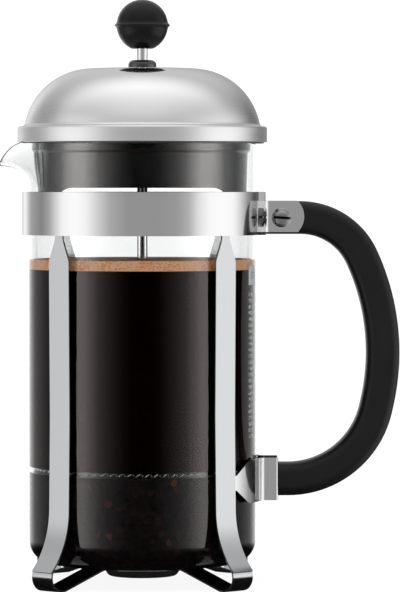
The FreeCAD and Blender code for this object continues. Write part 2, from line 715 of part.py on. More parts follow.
def make_handle_screw():
    """Slotted screw through both ears and the handle; local +Z is the head."""
    body = new_body("handle_screw")
    shank = new_sketch(body, "screw_section", "XZ_Plane")
    length = ear_outside * 2 + S["nut_height"] + S["sheet"]
    outline(shank, [
        (0, -length), (S["screw_radius"], -length), (S["screw_radius"], 0),
        (S["head_radius"], 0), (S["head_radius"], S["head_rim"]),
        (S["head_crown"], S["head_height"], S["head_round"]), (0, S["head_height"])])
    revolve(body, shank)
    slot = new_sketch(body, "screw_slot", "XZ_Plane")
    half = S["slot_width"] / 2
    low, high = S["head_height"] - S["slot_depth"], S["head_height"] + PAST
    outline(slot, [(-half, low), (half, low), (half, high), (-half, high)])
    cut(body, slot)
    forward = FreeCAD.Rotation(FreeCAD.Vector(1, 0, 0), 90)
    spin = FreeCAD.Rotation(FreeCAD.Vector(0, 0, 1), sheet.slot_turn)
    body.Placement.Rotation = forward.multiply(spin)
    bind(body, Placement__Base__x=screw_reach, Placement__Base__y=-ear_outside,
         Placement__Base__z=handle_top)


def make_handle_nut():
    """Hexagon nut on the rear ear; local +Z points away from the ear."""
    body = new_body("handle_nut")
    hexagon = new_sketch(body, "nut_plan", "XY_Plane")
    point = S["nut_size"] / math.sqrt(3)
    outline(hexagon, [
        (point * math.cos(math.radians(60 * i)), point * math.sin(math.radians(60 * i)))
        for i in range(6)])
    circle(hexagon, 0, 0, S["screw_radius"] + S["running"])
    pad(body, hexagon, S["nut_height"])
    body.Placement.Rotation = FreeCAD.Rotation(FreeCAD.Vector(1, 0, 0), -90)
    bind(body, Placement__Base__x=screw_reach, Placement__Base__y=ear_outside,
         Placement__Base__z=handle_top)


def make_lid_dome():
    """Spun dome with a stepped flange and a hole for the guide bush."""
    body = new_body("lid_dome")
    section = new_sketch(body, "dome_section", "XZ_Plane")
    sheet_outline(section, [
        (bush_seat, dome_top),
        (S["crown_flat"], dome_top, S["crown_radius"]),
        (flange_radius - S["shoulder_inset"], dome_top - S["crown_fall"], S["dome_shoulder"]),
        (flange_radius - S["dome_inset"], flange_top, S["flange_cove"]),
        (flange_radius, flange_top - S["crown_fall"], S["flange_round"]),
        (flange_radius, flange_low)],
        S["dome_sheet"], -1)
    revolve(body, section)


def make_lid_insert():
    """Plastic collar with skirts, arches between them and a slotted strainer."""
    body = new_body("lid_insert")
    section = new_sketch(body, "insert_section", "XZ_Plane")
    hub = bush_seat + S["hub_wall"]
    half_step = S["insert_step"] / 2
    skirt_low = S["beaker_rim"] - S["skirt_drop"]
    lip_low = S["beaker_rim"] - S["lip_drop"]
    seat_edge = flange_radius - S["seat_inset"]
    outline(section, [
        (bush_seat, insert_floor), (collar_bore, insert_floor, S["insert_round"]),
        (collar_bore, skirt_low), (collar_face - S["collar_draft"], skirt_low),
        (collar_face, lip_low - S["collar_lip"]), (collar_face + S["collar_lip"], lip_low),
        (collar_face + S["collar_lip"], flange_seat), (seat_edge, flange_seat),
        (seat_edge, insert_top), (collar_face + half_step, insert_top),
        (collar_face - half_step, insert_floor_top), (hub, insert_floor_top, S["hub_round"]),
        (hub, dome_inside), (bush_seat, dome_inside)])
    revolve(body, section)
    arch = new_sketch(body, "insert_arch", "XZ_Plane")
    half, low = collar_face - S["arch_inset"], skirt_low - PAST
    high = S["beaker_rim"] - S["arch_drop"]
    outline(arch, [
        (-half, low), (half, low), (half, high, S["arch_round"]), (-half, high, S["arch_round"])])
    cut(body, arch)
    slots = new_sketch(body, "strainer", "YZ_Plane")
    half_slot = S["slot_gap"] / 2
    first = S["slot_pitch"] * (sheet.slot_count - 1) / 2
    slot_low = S["beaker_rim"] - S["slot_drop"]
    slot_high = slot_low + S["slot_length"]
    for index in range(int(sheet.slot_count)):
        y = S["slot_pitch"] * index - first
        outline(slots, [
            (y - half_slot, slot_low), (y + half_slot, slot_low),
            (y + half_slot, slot_high), (y - half_slot, slot_high)])
    cut(body, slots, both_ways=False)


def make_rod_guide():
    """Bush in the middle of the dome, with a dished head and a clip groove."""
    body = new_body("rod_guide")
    section = new_sketch(body, "bush_section", "XZ_Plane")
    top = dome_top + S["bush_height"]
    head = bush_radius + S["bush_lap"]
    tail = clip_low - S["bush_tail"]
    outline(section, [
        (bush_bore, tail), (bush_radius, tail),
        (bush_radius, clip_low), (bush_groove, clip_low), (bush_groove, clip_top),
        (bush_radius, clip_top), (bush_radius, dome_top + S["running"]),
        (head, dome_top + S["running"]), (head, top, S["bush_round"]), (bush_bore, top)])
    revolve(body, section)


def make_spiral_plate():
    """Sieve plate on top of the mesh, drilled in three rings."""
    body = ring("spiral_plate", bush_bore, plate_edge, plate_low, plate_high)
    pitch = (plate_edge - S["sieve_margin"]) / 3
    # Each ring, from the middle out, and the number of its holes.
    for index, count in ((1, 8), (2, 14), (3, 20)):
        drill = new_sketch(body, "sieve_%d" % index, "XY_Plane")
        circle(drill, pitch * index, 0, S["sieve_hole"])
        pattern(body, cut(body, drill), count)


def make_cross_plate():
    """Plate under the mesh with four large holes."""
    body = ring("cross_plate", bush_bore, cross_radius, cross_low, mesh_low)
    drill = new_sketch(body, "cross_opening", "XY_Plane")
    circle(drill, cross_radius * S["cross_circle"], 0, S["cross_hole"])
    pattern(body, cut(body, drill), 4)


def make_edge_spring():
    """Coil spring round the filter's edge, as the ring that it fills."""
    torus = doc.addObject("Part::Torus", "edge_spring")
    torus.Label = "edge_spring"
    bind(torus, Radius1=spring_circle, Radius2=S["spring_wire"], Placement__Base__z=S["filter_level"])


def make_knob():
    """Ball with a raised ridge, a flat underside and a bore for its insert."""
    body = new_body("knob")
    ball = body.newObject("PartDesign::AdditiveSphere", "ball")
    bind(ball, Radius=S["knob_radius"], Placement__Base__z=knob_centre)
    half = S["ridge_height"] / 2
    root, tip = S["ridge_root"], S["ridge_radius"]
    ridge = new_sketch(body, "ridge", "XZ_Plane")
    middle = knob_centre
    outline(ridge, [
        (0, middle - half), (root, middle - half), (tip, middle, S["ridge_round"]),
        (root, middle + half), (0, middle + half)])
    revolve(body, ridge)
    base = new_sketch(body, "knob_base", "XZ_Plane")
    wide, low = S["knob_radius"], knob_centre - S["knob_radius"] - PAST
    outline(base, [(-wide, low), (wide, low), (wide, knob_low), (-wide, knob_low)])
    cut(body, base)
    bore = new_sketch(body, "knob_bore", "XZ_Plane")
    radius = insert_radius + S["running"]
    depth = knob_low + S["insert_length"] + S["running"]
    recess = knob_low + S["insert_recess"]
    outline(bore, [
        (0, knob_low - PAST), (bush_bore, knob_low - PAST), (bush_bore, recess), (radius, recess),
        (radius, depth), (0, depth)])
    revolve(body, bore, "Groove")


def make_rod():
    """Straight rod from the hub nut up into the knob's insert."""
    rod = doc.addObject("Part::Cylinder", "rod")
    rod.Label = "rod"
    length = knob_low + S["insert_length"] - hub_low
    bind(rod, Radius=S["rod_radius"], Height=length, Placement__Base__z=hub_low)


make_frame_band()
make_leg("leg_front_right", S["leg_angle"] - 90)
make_leg("leg_front_left", -S["leg_angle"] - 90)
make_leg("leg_rear_right", 90 - S["leg_angle"])
make_leg("leg_rear_left", S["leg_angle"] + 90)
make_base_plate()
make_lower_bracket()
make_handle()
make_handle_screw()
make_handle_nut()
make_beaker()
make_lid_dome()
make_lid_insert()
make_rod_guide()
ring("guide_clip", bush_groove, bush_radius + S["clip_lap"], clip_low, clip_top)
make_knob()
ring("knob_insert", bush_bore, insert_radius, knob_low + S["insert_recess"], knob_low + S["insert_length"])
make_rod()
ring("rod_collar", bush_bore, S["hub_radius"], plate_high, plate_high + S["collar_height"])
make_spiral_plate()
make_edge_spring()
ring("mesh_filter", bush_bore, plate_edge, mesh_low, plate_low)
make_cross_plate()
ring("hub_nut", bush_bore, S["hub_radius"], hub_low, cross_low)
doc.recompute()

for thing in doc.Objects:
    if "Invalid" in thing.State or "Error" in thing.State:
        raise RuntimeError("%s did not recompute: %s" % (thing.Name, thing.State))

nodes = [
    thing for thing in doc.Objects
    if thing.TypeId in ("PartDesign::Body", "Part::Torus", "Part::Cylinder")
]
for node in nodes:
    if node.Shape.isNull() or not node.Shape.isValid():
        raise RuntimeError("%s has no valid shape" % node.Label)

os.makedirs("parts", exist_ok=True)
for node in nodes:
    node.Shape.exportStep("parts/%s.step" % node.Label)
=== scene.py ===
"""French press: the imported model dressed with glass, steel, plastic and coffee.

Laid out as an add-on and run as a script.  Metres, +Z up, +X towards the handle,
the spout towards -X, the viewer towards -Y.
"""
import math

import bmesh
import bpy
import numpy as np
from bpy.props import FloatProperty, FloatVectorProperty, PointerProperty
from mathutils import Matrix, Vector


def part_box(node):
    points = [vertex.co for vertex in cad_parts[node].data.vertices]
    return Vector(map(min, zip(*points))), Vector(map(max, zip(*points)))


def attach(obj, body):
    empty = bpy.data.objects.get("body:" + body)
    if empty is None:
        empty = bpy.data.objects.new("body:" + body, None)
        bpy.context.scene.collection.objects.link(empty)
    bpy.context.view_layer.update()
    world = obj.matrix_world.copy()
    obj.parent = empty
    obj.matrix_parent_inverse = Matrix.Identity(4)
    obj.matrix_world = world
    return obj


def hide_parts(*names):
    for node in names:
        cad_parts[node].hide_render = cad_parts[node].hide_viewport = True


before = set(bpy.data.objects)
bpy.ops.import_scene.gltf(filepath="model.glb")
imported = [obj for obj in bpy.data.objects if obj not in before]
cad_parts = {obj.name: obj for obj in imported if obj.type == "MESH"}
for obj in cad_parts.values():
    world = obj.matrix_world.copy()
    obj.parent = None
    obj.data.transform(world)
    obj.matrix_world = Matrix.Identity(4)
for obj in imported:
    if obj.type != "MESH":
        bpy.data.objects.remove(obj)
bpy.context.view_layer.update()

bl_info = {
    "name": "French press",
    "version": (1, 0, 0),
    "blender": (4, 5, 0),
    "location": "View3D > Sidebar > Press",
    "description": "Glass, steel, plastic and coffee of a plunger coffee press",
    "category": "Object",
}

MM = 0.001
TURN = 2 * math.pi


# ---------------------------------------------------------------- sizes

def box_of(node):
    """Lowest and highest corners of a node as arrays."""
    low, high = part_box(node)
    return np.array(low), np.array(high)


def top_of(node):
    """Highest level of a node."""
    return float(box_of(node)[1][2])


def low_of(node):
    """Lowest level of a node."""
    return float(box_of(node)[0][2])


def radius_of(node):
    """Half the depth of a round node, along Y."""
    low, high = box_of(node)
    return float(high[1] - low[1]) / 2


def length(text, description, default):
    """A length property in metres."""
    return FloatProperty(name=text, description=description, default=default, unit="LENGTH", precision=5)


def linear(text, alpha=1.0):
    """sRGB hex text as a linear RGBA colour."""
    parts = [int(text[i:i + 2], 16) / 255 for i in (1, 3, 5)]
    flat = [c / 12.92 if c <= 0.04045 else ((c + 0.055) / 1.055) ** 2.4 for c in parts]
    return (*flat, alpha)


def tint(text, description, default):
    """A colour property with its default as sRGB hex."""
    return FloatVectorProperty(
        name=text, description=description, default=linear(default), size=4, min=0, max=1, subtype="COLOR")


class PressSizes(bpy.types.PropertyGroup):
    """Sizes that the frame doesn't state."""

    glass: length("Glass", "Thickness of the beaker's wall", 1.8 * MM)
    corner: length("Corner", "Outside radius between the beaker's wall and floor", 10 * MM)
    spout_reach: length("Spout reach", "How far the spout stands out of the wall", 11.95 * MM)
    spout_drop: length("Spout drop", "How far the spout's lip lies below the rim", 9.6 * MM)
    spout_depth: length("Spout depth", "Height of the spout's bulge", 20.5 * MM)
    spout_spread: FloatProperty(
        name="Spout spread", description="Half the angle that the spout takes of the rim",
        default=math.radians(25), subtype="ANGLE")
    sheet: length("Sheet", "Thickness of the dome's sheet", 0.8 * MM)
    flange: length("Flange", "Height of the dome's flange", 7.0 * MM)
    hole: length("Hole", "Radius of the hole in the dome", 3.75 * MM)
    crown_flat: length("Crown flat", "Radius of the dome's level middle", 12 * MM)
    crown_bend: length("Crown bend", "Bend radius where the level middle ends", 200 * MM)
    shoulder_inset: length("Shoulder inset", "From the dome's edge in to its shoulder", 8.4 * MM)
    shoulder_bend: length("Shoulder bend", "Bend radius of the shoulder", 28.9 * MM)
    slope: length("Slope", "Fall of the crown to the shoulder, and of the flange to its edge", 0.4 * MM)
    cove_inset: length("Cove inset", "From the dome's edge in to the cove", 2.9 * MM)
    cove_bend: length("Cove bend", "Bend radius of the cove above the flange", 1.5 * MM)
    flange_bend: length("Flange bend", "Bend radius of the flange's upper edge", 1.0 * MM)
    ball: length("Ball", "Radius of the knob's ball", 10.9 * MM)
    ridge: length("Ridge", "Half the height of the ridge round the knob", 0.75 * MM)
    thread: length("Thread", "How deep the rod goes into the knob", 11 * MM)
    wire: length("Wire", "Radius of the edge spring's wire", 0.36 * MM)
    spring_pitch: length("Spring pitch", "Distance between two turns of the edge spring", 3.6 * MM)
    coffee_level: length("Coffee level", "Top of the crema above the table", 137.3 * MM)
    crema: length("Crema", "Thickness of the crema", 4.0 * MM)
    wetting: length("Wetting", "How far the coffee reaches into the glass it wets", 0.1 * MM)


class PressFinish(bpy.types.PropertyGroup):
    """Colours of the materials."""

    steel: tint("Steel", "Stainless steel seen face on", "#c6c6c6")
    strip: tint("Strip", "Rolled strip of the legs", "#abacad")
    plastic: tint("Plastic", "Black moulded plastic", "#0c0c0c")
    glass: tint("Glass", "Glass of the beaker", "#fdfefe")
    coffee: tint("Coffee", "Black coffee in the beaker", "#060201")
    crema: tint("Crema", "Foam on the coffee", "#eda06c")
    grounds: tint("Grounds", "Spent coffee grounds", "#120a08")
    ink: tint("Ink", "Ink of the measuring scale", "#b3b3b3")
    floor: tint("Floor", "Studio floor", "#fcfcfc")


# ---------------------------------------------------------------- node and mesh helpers

def add(tree, kind, inputs=None, **settings):
    """Add a node, set its properties, and set or link its inputs."""
    made = tree.nodes.new(kind)
    for name, value in settings.items():
        setattr(made, name, value)
    for name, value in (inputs or {}).items():
        if isinstance(value, bpy.types.NodeSocket):
            tree.links.new(value, made.inputs[name])
        else:
            made.inputs[name].default_value = value
    return made


def stops(ramp_node, pairs):
    """Set a colour ramp's stops from (place, grey or colour) pairs."""
    ramp = ramp_node.color_ramp
    while len(ramp.elements) > 1:
        ramp.elements.remove(ramp.elements[-1])
    for index, (place, colour) in enumerate(pairs):
        element = ramp.elements[0] if index == 0 else ramp.elements.new(place)
        element.position = place
        element.color = colour if isinstance(colour, tuple) else (colour, colour, colour, 1)


def new_material(name):
    """An empty node material with a Principled shader; returns all three."""
    material = bpy.data.materials.new(name)
    material.use_nodes = True
    tree = material.node_tree
    tree.nodes.clear()
    shader = tree.nodes.new("ShaderNodeBsdfPrincipled")
    output = tree.nodes.new("ShaderNodeOutputMaterial")
    tree.links.new(shader.outputs["BSDF"], output.inputs["Surface"])
    return material, tree, shader


def mesh_from_grid(name, points, wrap_rows=False, wrap_columns=True):
    """A quad mesh from an array of points (rows, columns, 3), doubles merged."""
    rows, columns = points.shape[:2]
    index = np.arange(rows * columns).reshape(rows, columns)
    if wrap_rows:
        index = np.vstack([index, index[:1]])
    if wrap_columns:
        index = np.hstack([index, index[:, :1]])
    quads = np.stack([index[:-1, :-1], index[:-1, 1:], index[1:, 1:], index[1:, :-1]], axis=-1)
    mesh = bpy.data.meshes.new(name)
    mesh.from_pydata(points.reshape(-1, 3).tolist(), [], quads.reshape(-1, 4).tolist())
    work = bmesh.new()
    work.from_mesh(mesh)
    bmesh.ops.remove_doubles(work, verts=work.verts, dist=1e-7)
    bmesh.ops.recalc_face_normals(work, faces=work.faces)
    work.to_mesh(mesh)
    work.free()
    return mesh


def turned(profile, segments):
    """Turn a profile of (radius, level) pairs about the Z axis.

    The point at angle a is (r cos a, r sin a, z).
    """
    profile = np.asarray(profile)
    angle = np.linspace(0, TURN, segments, endpoint=False)
    r = profile[:, :1]
    z = np.repeat(profile[:, 1:], segments, axis=1)
    return np.stack([r * np.cos(angle), r * np.sin(angle), z], axis=-1)


def rounded(corners, radii, steps=10):
    """A polyline whose corners are replaced by arcs tangent to both sides.

    At a corner with the half angle h between its sides the arc of radius r
    starts r / tan h from the corner and its centre lies r / sin h from it.
    """
    corners = np.asarray(corners, float)
    out = [corners[0]]
    for before, corner, after, radius in zip(corners, corners[1:], corners[2:], radii):
        back = (before - corner) / np.linalg.norm(before - corner)
        ahead = (after - corner) / np.linalg.norm(after - corner)
        half = math.acos(float(np.clip(back @ ahead, -1, 1))) / 2
        if radius <= 0:
            out.append(corner)
            continue
        bisector = (back + ahead) / np.linalg.norm(back + ahead)
        centre = corner + bisector * radius / math.sin(half)
        start = corner + back * radius / math.tan(half) - centre
        end = corner + ahead * radius / math.tan(half) - centre
        t = np.linspace(0, 1, steps)[:, None]
        sweep = math.pi - 2 * half
        arc = (np.sin((1 - t) * sweep) * start + np.sin(t * sweep) * end) / math.sin(sweep)
        out.extend(centre + arc)
    out.append(corners[-1])
    return np.array(out)


def shown(name, mesh, material, sharp):
    """An object of a mesh, smooth but for edges sharper than an angle in degrees."""
    mesh.polygons.foreach_set("use_smooth", [True] * len(mesh.polygons))
    mesh.set_sharp_from_angle(angle=math.radians(sharp))
    mesh.materials.append(material)
    thing = bpy.data.objects.new(name, mesh)
    bpy.context.collection.objects.link(thing)
    return thing


def piece(name, mesh, material, body, replaces=(), sharp=35.0):
    """Show a mesh as a piece that rides on a body and stands for CAD nodes."""
    thing = shown(name, mesh, material, sharp)
    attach(thing, body)
    if replaces:
        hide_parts(*replaces)
    return thing


def prop(name, mesh, material, body=None):
    """Show a mesh that isn't part of the press, such as its coffee."""
    thing = shown(name, mesh, material, 35.0)
    if body:
        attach(thing, body)
    return thing


def dress(node, material):
    """Give a CAD node a material."""
    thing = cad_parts[node]
    if not thing.material_slots:
        thing.data.materials.append(material)
    for index in range(len(thing.material_slots)):
        thing.material_slots[index].material = material


def bump(tree, shader, height, distance, strength=1.0):
    """Drive a shader's normal from a height, with the relief in metres; returns the node."""
    node = add(tree, "ShaderNodeBump", {"Height": height, "Distance": distance, "Strength": strength})
    tree.links.new(node.outputs["Normal"], shader.inputs["Normal"])
    return node


def show_instead(tree, closure):
    """Link a closure to a material's output in place of the Principled shader."""
    output = next(node for node in tree.nodes if node.type == "OUTPUT_MATERIAL")
    tree.links.new(closure, output.inputs["Surface"])


def axis_distance(tree, parts, across="XY"):
    """Distance of a point to the axis that is square to the two named directions."""
    flat = add(tree, "ShaderNodeCombineXYZ", {name: parts.outputs[name] for name in across}).outputs[0]
    return add(tree, "ShaderNodeVectorMath", {0: flat}, operation="LENGTH").outputs["Value"]


def stencil(tree, spans):
    """1 where every value lies between its two limits and 0 elsewhere, from (value, low, high) spans."""
    mask = 1.0
    for value, low, high in spans:
        for operation, limit in (("GREATER_THAN", low), ("LESS_THAN", high)):
            inside = add(tree, "ShaderNodeMath", {0: value, 1: limit}, operation=operation).outputs[0]
            mask = add(tree, "ShaderNodeMath", {0: mask, 1: inside}, operation="MULTIPLY").outputs[0]
    return mask


# ---------------------------------------------------------------- materials

def polished_sheet(name, tone, roughness, bow=None):
    """Polished stainless sheet: rolled lines a quarter millimetre apart and faint clouds.

    A pressed end that bows is given as (start, end, depth) along X: its relief
    is the depth times (2 u - 1) squared, with u running from 0 to 1 between them.
    """
    material, tree, shader = new_material(name)
    place = add(tree, "ShaderNodeTexCoord").outputs["Object"]
    scaled = add(tree, "ShaderNodeMapping", {"Vector": place, "Scale": (1, 1, 40)}).outputs[0]
    lines = add(tree, "ShaderNodeTexNoise", {
        "Vector": scaled, "Scale": 1 / (10 * MM), "Detail": 4.0, "Roughness": 0.6}).outputs["Fac"]
    cloud = add(tree, "ShaderNodeTexNoise", {
        "Vector": place, "Scale": 1 / (30 * MM), "Detail": 3.0}).outputs["Fac"]
    mix = add(tree, "ShaderNodeMath", {0: lines, 1: cloud}, operation="ADD").outputs[0]
    rough = add(tree, "ShaderNodeMapRange", {
        "Value": mix, "From Min": 0.6, "From Max": 1.4,
        "To Min": roughness * 0.8, "To Max": roughness * 1.2}).outputs[0]
    tree.links.new(rough, shader.inputs["Roughness"])
    shader.inputs["Base Color"].default_value = tuple(tone)
    shader.inputs["Metallic"].default_value = 1.0
    relief = bump(tree, shader, lines, 0.002 * MM, 0.5)
    if bow:
        start, end, depth = bow
        x = add(tree, "ShaderNodeSeparateXYZ", {0: place}).outputs["X"]
        across = add(tree, "ShaderNodeMapRange", {
            "Value": x, "From Min": start, "From Max": end, "To Min": -1.0, "To Max": 1.0}).outputs[0]
        height = add(tree, "ShaderNodeMath", {0: across, 1: across}, operation="MULTIPLY").outputs[0]
        bowed = add(tree, "ShaderNodeBump", {"Height": height, "Distance": depth, "Strength": 1.0})
        tree.links.new(bowed.outputs["Normal"], relief.inputs["Normal"])
    return material


def turned_screw():
    """Turned steel screw: bright on its domed head, with painted shade in its slot, which is also rougher."""
    low, high = box_of("handle_screw")
    middle = (low + high) / 2
    material, tree, shader = new_material("turned_screw_steel")
    place = add(tree, "ShaderNodeTexCoord").outputs["Object"]
    centred = add(tree, "ShaderNodeVectorMath", {
        0: place, 1: (middle[0], low[1], middle[2])}, operation="SUBTRACT").outputs[0]
    parts = add(tree, "ShaderNodeSeparateXYZ", {0: centred})
    radius = axis_distance(tree, parts, "XZ")
    deep = add(tree, "ShaderNodeMapRange", {
        "Value": parts.outputs["Y"], "From Min": 0.55 * MM, "From Max": 0.95 * MM}).outputs[0]
    inner = add(tree, "ShaderNodeMapRange", {
        "Value": radius, "From Min": 3.3 * MM, "From Max": 3.7 * MM, "To Min": 1.0, "To Max": 0.0}).outputs[0]
    # Painted shade: the deep middle of the slot is painted near black; it is also made rough.
    slot_shade = add(tree, "ShaderNodeMath", {0: deep, 1: inner}, operation="MULTIPLY").outputs[0]
    rings = add(tree, "ShaderNodeTexNoise", {
        "Vector": add(tree, "ShaderNodeCombineXYZ", {"X": radius}).outputs[0],
        "Scale": 1 / (0.3 * MM)}).outputs["Fac"]
    colour = add(tree, "ShaderNodeMix", {
        "Factor": slot_shade, "A": linear("#8c8c8c"), "B": linear("#161515")}, data_type="RGBA")
    rough = add(tree, "ShaderNodeMapRange", {"Value": slot_shade, "To Min": 0.16, "To Max": 0.7}).outputs[0]
    tree.links.new(colour.outputs["Result"], shader.inputs["Base Color"])
    tree.links.new(rough, shader.inputs["Roughness"])
    shader.inputs["Metallic"].default_value = 1.0
    bump(tree, shader, rings, 0.003 * MM, 0.5)
    return material


def spun_steel():
    """Spun stainless, satin at the flange and glossier to the crown, with fine rings round the axis."""
    finish = bpy.context.scene.press_finish
    material, tree, shader = new_material("spun_stainless_steel")
    place = add(tree, "ShaderNodeTexCoord").outputs["Object"]
    parts = add(tree, "ShaderNodeSeparateXYZ", {0: place})
    radius = axis_distance(tree, parts)
    along = add(tree, "ShaderNodeCombineXYZ", {"X": radius, "Z": parts.outputs["Z"]}).outputs[0]
    rings = add(tree, "ShaderNodeTexNoise", {
        "Vector": along, "Scale": 1 / (0.6 * MM), "Detail": 3.0}).outputs["Fac"]
    cloud = add(tree, "ShaderNodeTexNoise", {
        "Vector": place, "Scale": 1 / (25 * MM), "Detail": 2.0}).outputs["Fac"]
    mix = add(tree, "ShaderNodeMath", {0: rings, 1: cloud}, operation="ADD").outputs[0]
    satin = add(tree, "ShaderNodeMapRange", {
        "Value": mix, "From Min": 0.6, "From Max": 1.4, "To Min": 0.8, "To Max": 1.2}).outputs[0]
    # Polished to a gloss on the crown and left satin towards the flange.
    low, high = box_of("lid_dome")
    base = add(tree, "ShaderNodeMapRange", {
        "Value": parts.outputs["Z"], "From Min": low[2] + 6 * MM, "From Max": high[2] - 2 * MM,
        "To Min": 0.34, "To Max": 0.12}).outputs[0]
    rough = add(tree, "ShaderNodeMath", {0: satin, 1: base}, operation="MULTIPLY").outputs[0]
    tree.links.new(rough, shader.inputs["Roughness"])
    shader.inputs["Base Color"].default_value = tuple(finish.steel)
    shader.inputs["Metallic"].default_value = 1.0
    bump(tree, shader, rings, 0.001 * MM, 0.3)
    return material


def moulded_plastic(name, roughness, gloss, grain, depth):
    """Moulded black plastic: an even spark-eroded grain and slight wear in its gloss."""
    finish = bpy.context.scene.press_finish
    material, tree, shader = new_material(name)
    place = add(tree, "ShaderNodeTexCoord").outputs["Object"]
    fine = add(tree, "ShaderNodeTexNoise", {
        "Vector": place, "Scale": 1 / grain, "Detail": 2.0}).outputs["Fac"]
    wear = add(tree, "ShaderNodeTexNoise", {
        "Vector": place, "Scale": 1 / (18 * MM), "Detail": 4.0}).outputs["Fac"]
    rough = add(tree, "ShaderNodeMapRange", {
        "Value": wear, "From Min": 0.3, "From Max": 0.7,
        "To Min": roughness * 0.85, "To Max": roughness * 1.15}).outputs[0]
    dark = tuple(finish.plastic)
    light = tuple(min(c * 1.5, 1) for c in dark[:3]) + (1,)
    colour = add(tree, "ShaderNodeMix", {"Factor": fine, "A": dark, "B": light}, data_type="RGBA")
    tree.links.new(colour.outputs["Result"], shader.inputs["Base Color"])
    tree.links.new(rough, shader.inputs["Roughness"])
    shader.inputs["IOR"].default_value = 1.5
    shader.inputs["Specular IOR Level"].default_value = gloss
    bump(tree, shader, fine, depth, 0.6)
    return material


def clear_glass():
    """Borosilicate: clear, with the faint draw lines of a blown wall and a fired grey scale.

    The scale is a plain field at the top and a column of marks below it, drawn
    on the outer face by height and by the bearing round the axis.
    """
    finish = bpy.context.scene.press_finish
    sizes = bpy.context.scene.press_sizes
    material, tree, shader = new_material("borosilicate_glass")
    place = add(tree, "ShaderNodeTexCoord").outputs["Object"]
    stretched = add(tree, "ShaderNodeMapping", {"Vector": place, "Scale": (1, 1, 0.15)}).outputs[0]
    draw = add(tree, "ShaderNodeTexNoise", {
        "Vector": stretched, "Scale": 1 / (12 * MM), "Detail": 1.0}).outputs["Fac"]
    shader.inputs["Base Color"].default_value = tuple(finish.glass)
    shader.inputs["Roughness"].default_value = 0.0
    shader.inputs["IOR"].default_value = 1.47
    shader.inputs["Transmission Weight"].default_value = 1.0
    bump(tree, shader, draw, 0.01 * MM, 0.3)

    parts = add(tree, "ShaderNodeSeparateXYZ", {0: place})
    radius = axis_distance(tree, parts)
    bearing = add(tree, "ShaderNodeMath", {
        0: parts.outputs["Y"], 1: parts.outputs["X"]}, operation="ARCTAN2").outputs[0]

    height = parts.outputs["Z"]
    start, end = math.radians(-22), math.radians(-10.5)
    top = sizes.coffee_level - 2.2 * MM
    field = stencil(tree, [(height, top - 8.2 * MM, top), (bearing, start, end)])
    ring = stencil(tree, [
        (height, top - 5.6 * MM, top - 2.6 * MM), (bearing, math.radians(-17.5), math.radians(-13.5))])
    hollow = stencil(tree, [
        (height, top - 4.9 * MM, top - 3.3 * MM), (bearing, math.radians(-16.6), math.radians(-14.4))])
    loop = add(tree, "ShaderNodeMath", {0: ring, 1: hollow}, operation="SUBTRACT").outputs[0]
    pale = add(tree, "ShaderNodeMath", {0: field, 1: loop}, operation="SUBTRACT").outputs[0]
    pitch, mark, foot, gap = 2.6 * MM, 1.5 * MM, 62 * MM, 11 * MM
    step = add(tree, "ShaderNodeMath", {0: height, 1: pitch}, operation="MODULO").outputs[0]
    letters = add(tree, "ShaderNodeTexVoronoi", {
        "Vector": add(tree, "ShaderNodeMapping", {"Vector": place, "Scale": (1, 1, 0.7)}).outputs[0],
        "Scale": 1 / (1.3 * MM)}, feature="DISTANCE_TO_EDGE").outputs["Distance"]
    strokes = stencil(tree, [
        (step, 0.0, mark), (height, foot, top - gap), (bearing, start, end), (letters, 0.12, 1.0)])
    either = add(tree, "ShaderNodeMath", {0: pale, 1: strokes}, operation="MAXIMUM").outputs[0]
    outer = stencil(tree, [(radius, radius_of("beaker") - 0.5 * MM, 1.0)])
    marks = add(tree, "ShaderNodeMath", {0: either, 1: outer}, operation="MULTIPLY").outputs[0]
    patch = add(tree, "ShaderNodeTexNoise", {"Vector": place, "Scale": 1 / (0.8 * MM)}).outputs["Fac"]
    colour = add(tree, "ShaderNodeMix", {
        "Factor": patch, "A": tuple(finish.ink), "B": linear("#9a9da0")}, data_type="RGBA")
    fired = add(tree, "ShaderNodeBsdfDiffuse", {"Color": colour.outputs["Result"]})
    printed = add(tree, "ShaderNodeMixShader", {0: marks, 1: shader.outputs[0], 2: fired.outputs[0]})
    show_instead(tree, printed.outputs[0])
    return material


def turned_brass():
    """Turned brass of the insert, hidden in the knob."""
    material, tree, shader = new_material("turned_brass")
    place = add(tree, "ShaderNodeTexCoord").outputs["Object"]
    grooves = add(tree, "ShaderNodeTexWave", {
        "Vector": place, "Scale": 1 / (1.2 * MM), "Distortion": 0.4},
        bands_direction="Z").outputs["Fac"]
    shader.inputs["Base Color"].default_value = linear("#d8b15a")
    shader.inputs["Metallic"].default_value = 1.0
    shader.inputs["Roughness"].default_value = 0.3
    bump(tree, shader, grooves, 0.05 * MM)
    return material


def woven_mesh():
    """Woven stainless cloth: crossed wires about a millimetre apart, with painted shade where they dip."""
    material, tree, shader = new_material("woven_steel_cloth")
    place = add(tree, "ShaderNodeTexCoord").outputs["Object"]
    heights = []
    for direction in ("X", "Y"):
        heights.append(add(tree, "ShaderNodeTexWave", {
            "Vector": place, "Scale": 1 / (0.5 * MM) / 6.3}, bands_direction=direction).outputs["Fac"])
    weave = add(tree, "ShaderNodeMath", {0: heights[0], 1: heights[1]}, operation="MULTIPLY").outputs[0]
    # Painted shade: the low parts of the weave, between the wires, are painted darker.
    shade = add(tree, "ShaderNodeValToRGB", {"Fac": weave})
    stops(shade, [(0.0, 0.08), (1.0, 0.5)])
    tree.links.new(shade.outputs["Color"], shader.inputs["Base Color"])
    shader.inputs["Metallic"].default_value = 1.0
    shader.inputs["Roughness"].default_value = 0.35
    bump(tree, shader, weave, 0.15 * MM)
    return material


